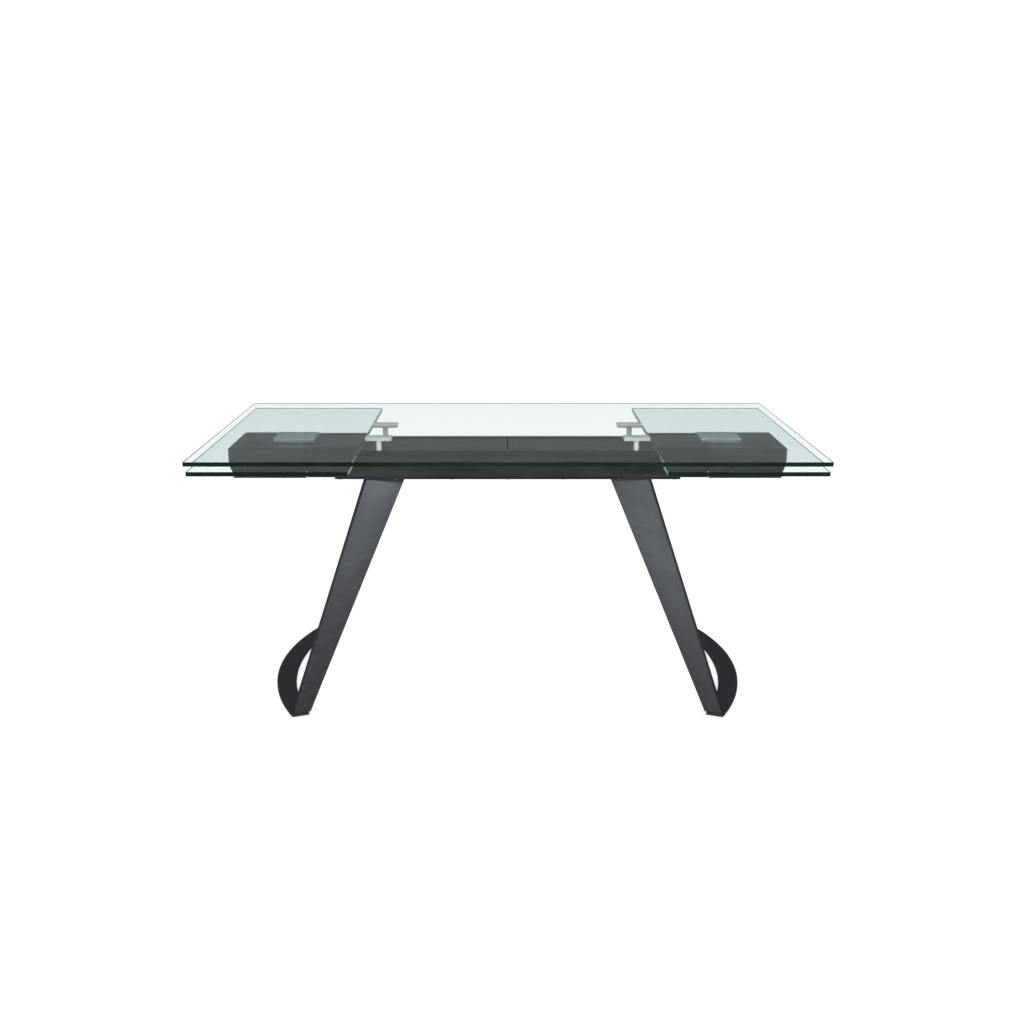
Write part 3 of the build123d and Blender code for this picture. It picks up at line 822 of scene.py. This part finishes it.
def studio_world():
    """White to the camera, even light for matt surfaces, and a dim low band for mirrored rays."""
    world = bpy.data.worlds.new("studio")
    world.use_nodes = True
    tree = world.node_tree
    tree.nodes.clear()
    way = tree.nodes.new("ShaderNodeTexCoord").outputs["Generated"]
    height = add(tree, "ShaderNodeSeparateXYZ", {0: way}).outputs[2]
    mirrored = ranged(tree, height, *SKY_HEIGHTS, *SKY_MIRRORED)
    ray = tree.nodes.new("ShaderNodeLightPath").outputs
    matt = add(tree, "ShaderNodeMix", {0: ray["Is Diffuse Ray"], 2: mirrored, 3: SKY_MATT}).outputs[0]
    seen = add(tree, "ShaderNodeMix", {0: ray["Is Camera Ray"], 2: matt, 3: SKY_SEEN}).outputs[0]
    back = add(tree, "ShaderNodeBackground", {"Color": WHITE, "Strength": seen})
    tree.links.new(back.outputs[0], tree.nodes.new("ShaderNodeOutputWorld").inputs[0])
    world.cycles.sampling_method = "NONE"
    return world


def softbox(name, location, target, size, radiance):
    """Rectangular lamp that faces its target; its power is radiance times area times pi."""
    data = bpy.data.lights.new(name, "AREA")
    data.shape = "RECTANGLE"
    data.size, data.size_y = size
    data.energy = radiance * size[0] * size[1] * math.pi
    lamp = bpy.data.objects.new(name, data)
    away = np.subtract(location, target)
    flat = math.hypot(away[0], away[1])
    lamp.location = location
    lamp.rotation_euler = (math.atan2(flat, away[2]), 0.0, math.atan2(away[0], -away[1]))
    lamp.visible_camera = False
    bpy.context.scene.collection.objects.link(lamp)


def round_floor(radius):
    """Flat disc at height zero: rings at growing radii, each a full circle."""
    angle = np.arange(96) * 2 * math.pi / 96
    radii = np.geomspace(radius, 0.5, 16)[:, None]
    x, y = radii * np.cos(angle), radii * np.sin(angle)
    rings = np.stack([x, y, np.zeros_like(x)], -1)
    shell = Shell(rings)
    mesh = bpy.data.meshes.new("studio_floor")
    faces = shell.walls().tolist() + [shell.caps()[1].tolist()]
    mesh.from_pydata(rings.reshape(-1, 3).tolist(), [], faces)
    mesh.materials.append(floor_finish())
    made = bpy.data.objects.new("studio_floor", mesh)
    bpy.context.scene.collection.objects.link(made)


class TABLE_OT_studio(bpy.types.Operator):
    """Pale floor, soft lamps and the camera"""
    bl_idname = "glass_table.studio"
    bl_label = "Studio"

    def execute(self, context):
        scene = context.scene
        studio = scene.table_studio
        round_floor(studio.floor_radius)
        scene.world = studio_world()
        scene.view_settings.view_transform = "Standard"
        for name, lamp in LAMPS.items():
            softbox(name, *lamp)
        data = bpy.data.cameras.new("camera")
        data.lens = studio.lens
        data.shift_x = studio.camera_shift
        camera = bpy.data.objects.new("camera", data)
        camera.location = (studio.camera_x, -studio.camera_distance, studio.camera_height)
        camera.rotation_euler = (math.pi / 2 - studio.camera_pitch, 0.0, 0.0)
        scene.collection.objects.link(camera)
        scene.camera = camera
        return {"FINISHED"}


OPERATORS = (TABLE_OT_finishes, TABLE_OT_glass, TABLE_OT_supports, TABLE_OT_leaf_blocks, TABLE_OT_rails,
             TABLE_OT_legs, TABLE_OT_floor_arcs, TABLE_OT_studio)
SETTINGS = {"table_glass": GlassSettings, "table_steel": SteelSettings, "table_studio": StudioSettings}


class TABLE_PT_panel(bpy.types.Panel):
    """Builders and settings of the table"""
    bl_idname = "TABLE_PT_panel"
    bl_label = "Glass Table"
    bl_space_type = "VIEW_3D"
    bl_region_type = "UI"
    bl_category = "Glass Table"

    def draw(self, context):
        for operator in OPERATORS:
            self.layout.operator(operator.bl_idname)
        for name, kind in SETTINGS.items():
            box = self.layout.box()
            for label in kind.__annotations__:
                box.prop(getattr(context.scene, name), label)


def register():
    for kind in (*SETTINGS.values(), *OPERATORS, TABLE_PT_panel):
        bpy.utils.register_class(kind)
    for name, kind in SETTINGS.items():
        setattr(bpy.types.Scene, name, bpy.props.PointerProperty(type=kind))


def unregister():
    for name in SETTINGS:
        delattr(bpy.types.Scene, name)
    for kind in reversed((*SETTINGS.values(), *OPERATORS, TABLE_PT_panel)):
        bpy.utils.unregister_class(kind)


def main():
    register()
    for operator in OPERATORS:
        group, action = operator.bl_idname.split(".")
        getattr(getattr(bpy.ops, group), action)()


if __name__ == "__main__":
    main()
